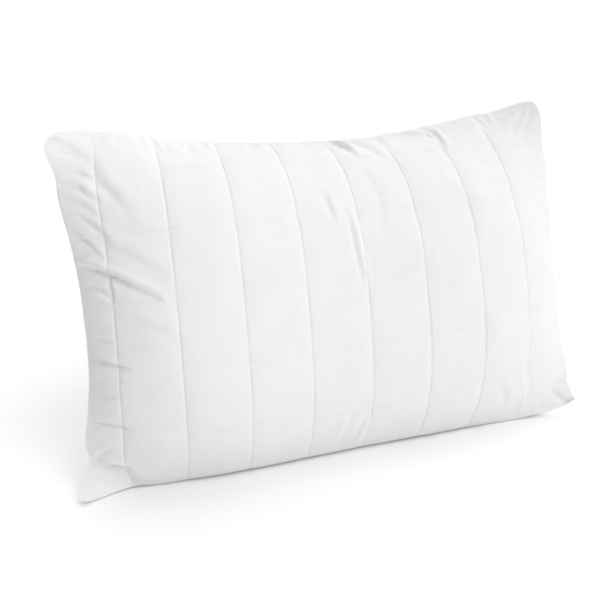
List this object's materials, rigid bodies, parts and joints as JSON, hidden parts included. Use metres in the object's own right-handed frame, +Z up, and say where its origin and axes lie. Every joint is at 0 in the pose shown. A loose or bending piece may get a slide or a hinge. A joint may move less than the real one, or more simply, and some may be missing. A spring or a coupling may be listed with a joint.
{
  "type": "bed pillow",
  "caption": "Plump white quilted bed pillow with a square box-stitched cover, standing on its long edge and leaning back.",
  "frame": {"origin": "middle of the pillow's bounding box, on the floor it stands on", "axes": "+X along the long side, to the right seen from the front; -Y is the front, towards the viewer; +Z up"},
  "size_m": [0.6727, 0.216, 0.4235],
  "materials": {
    "ticking": "white cotton percale",
    "wadding": "bonded fibre batting",
    "lining": "thin nonwoven",
    "fibre": "loose hollow fibre",
    "seam_thread": "spun polyester thread",
    "quilting_thread": "spun polyester thread"
  },
  "bodies": {
    "root": {"front_ticking": "ticking", "front_wadding": "wadding", "front_lining": "lining", "back_ticking": "ticking", "back_wadding": "wadding", "back_lining": "lining", "fibre_fill": "fibre", "bottom_seam_thread": "seam_thread", "right_seam_thread": "seam_thread", "top_seam_thread": "seam_thread", "left_seam_thread": "seam_thread", "front_column_stitch_1": "quilting_thread", "front_column_stitch_2": "quilting_thread", "front_column_stitch_3": "quilting_thread", "front_column_stitch_4": "quilting_thread", "front_column_stitch_5": "quilting_thread", "front_column_stitch_6": "quilting_thread", "front_column_stitch_7": "quilting_thread", "front_column_stitch_8": "quilting_thread", "front_row_stitch_1": "quilting_thread", "front_row_stitch_2": "quilting_thread", "front_row_stitch_3": "quilting_thread", "front_row_stitch_4": "quilting_thread", "front_row_stitch_5": "quilting_thread", "front_row_stitch_6": "quilting_thread", "back_column_stitch_1": "quilting_thread", "back_column_stitch_2": "quilting_thread", "back_column_stitch_3": "quilting_thread", "back_column_stitch_4": "quilting_thread", "back_column_stitch_5": "quilting_thread", "back_column_stitch_6": "quilting_thread", "back_column_stitch_7": "quilting_thread", "back_column_stitch_8": "quilting_thread", "back_row_stitch_1": "quilting_thread", "back_row_stitch_2": "quilting_thread", "back_row_stitch_3": "quilting_thread", "back_row_stitch_4": "quilting_thread", "back_row_stitch_5": "quilting_thread", "back_row_stitch_6": "quilting_thread"}
  },
  "joints": []
}
